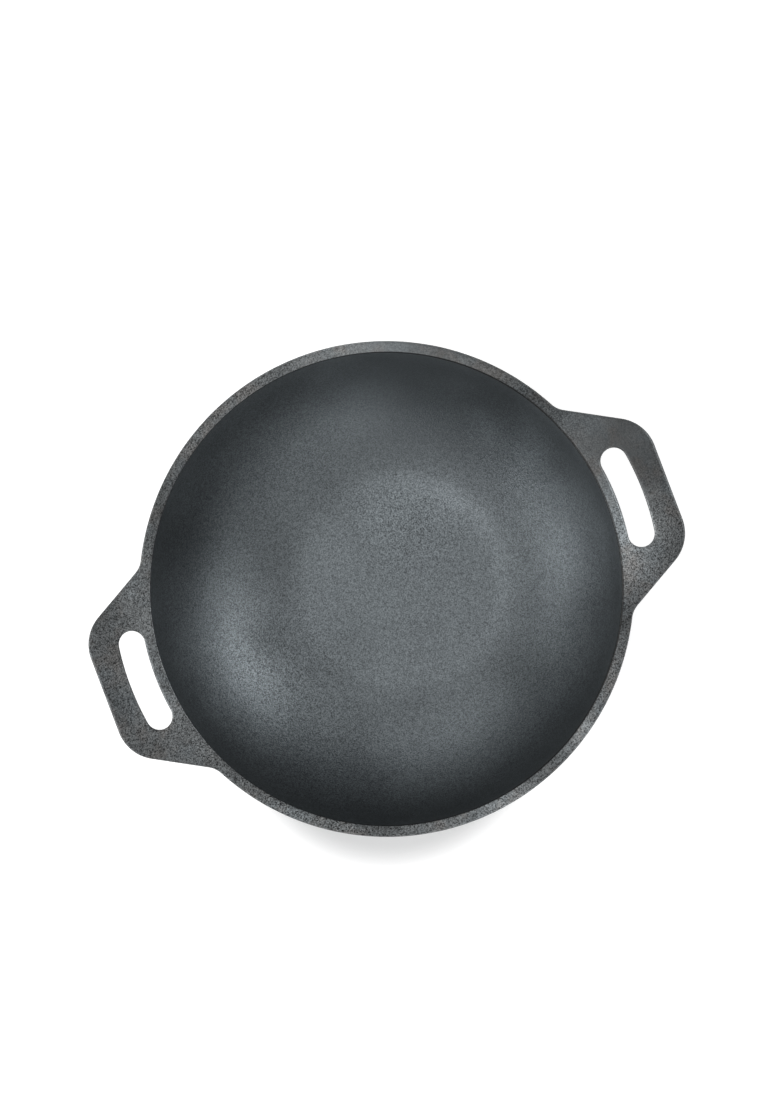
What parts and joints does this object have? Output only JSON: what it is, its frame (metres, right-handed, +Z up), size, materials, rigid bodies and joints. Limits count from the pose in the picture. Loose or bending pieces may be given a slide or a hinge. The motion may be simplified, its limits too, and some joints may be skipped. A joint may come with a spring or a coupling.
{
  "type": "kadai",
  "caption": "Round-bottomed cast-iron kadai with a flat base, a thick rim band and slotted lug handles level with the rim.",
  "frame": {"origin": "middle of the underside of the flat base, on the stove", "axes": "+Z up out of the bowl, +X out through the right handle, +Y across the handles"},
  "size_m": [0.3174, 0.2606, 0.082],
  "materials": {
    "seasoned_inside": "seasoned, satin",
    "cast_rim": "seasoned, sand cast"
  },
  "bodies": {
    "root": {"base": "seasoned_inside", "bowl_wall": "seasoned_inside", "rim_band": "cast_rim", "handle_right": "cast_rim", "handle_left": "cast_rim"}
  },
  "joints": []
}
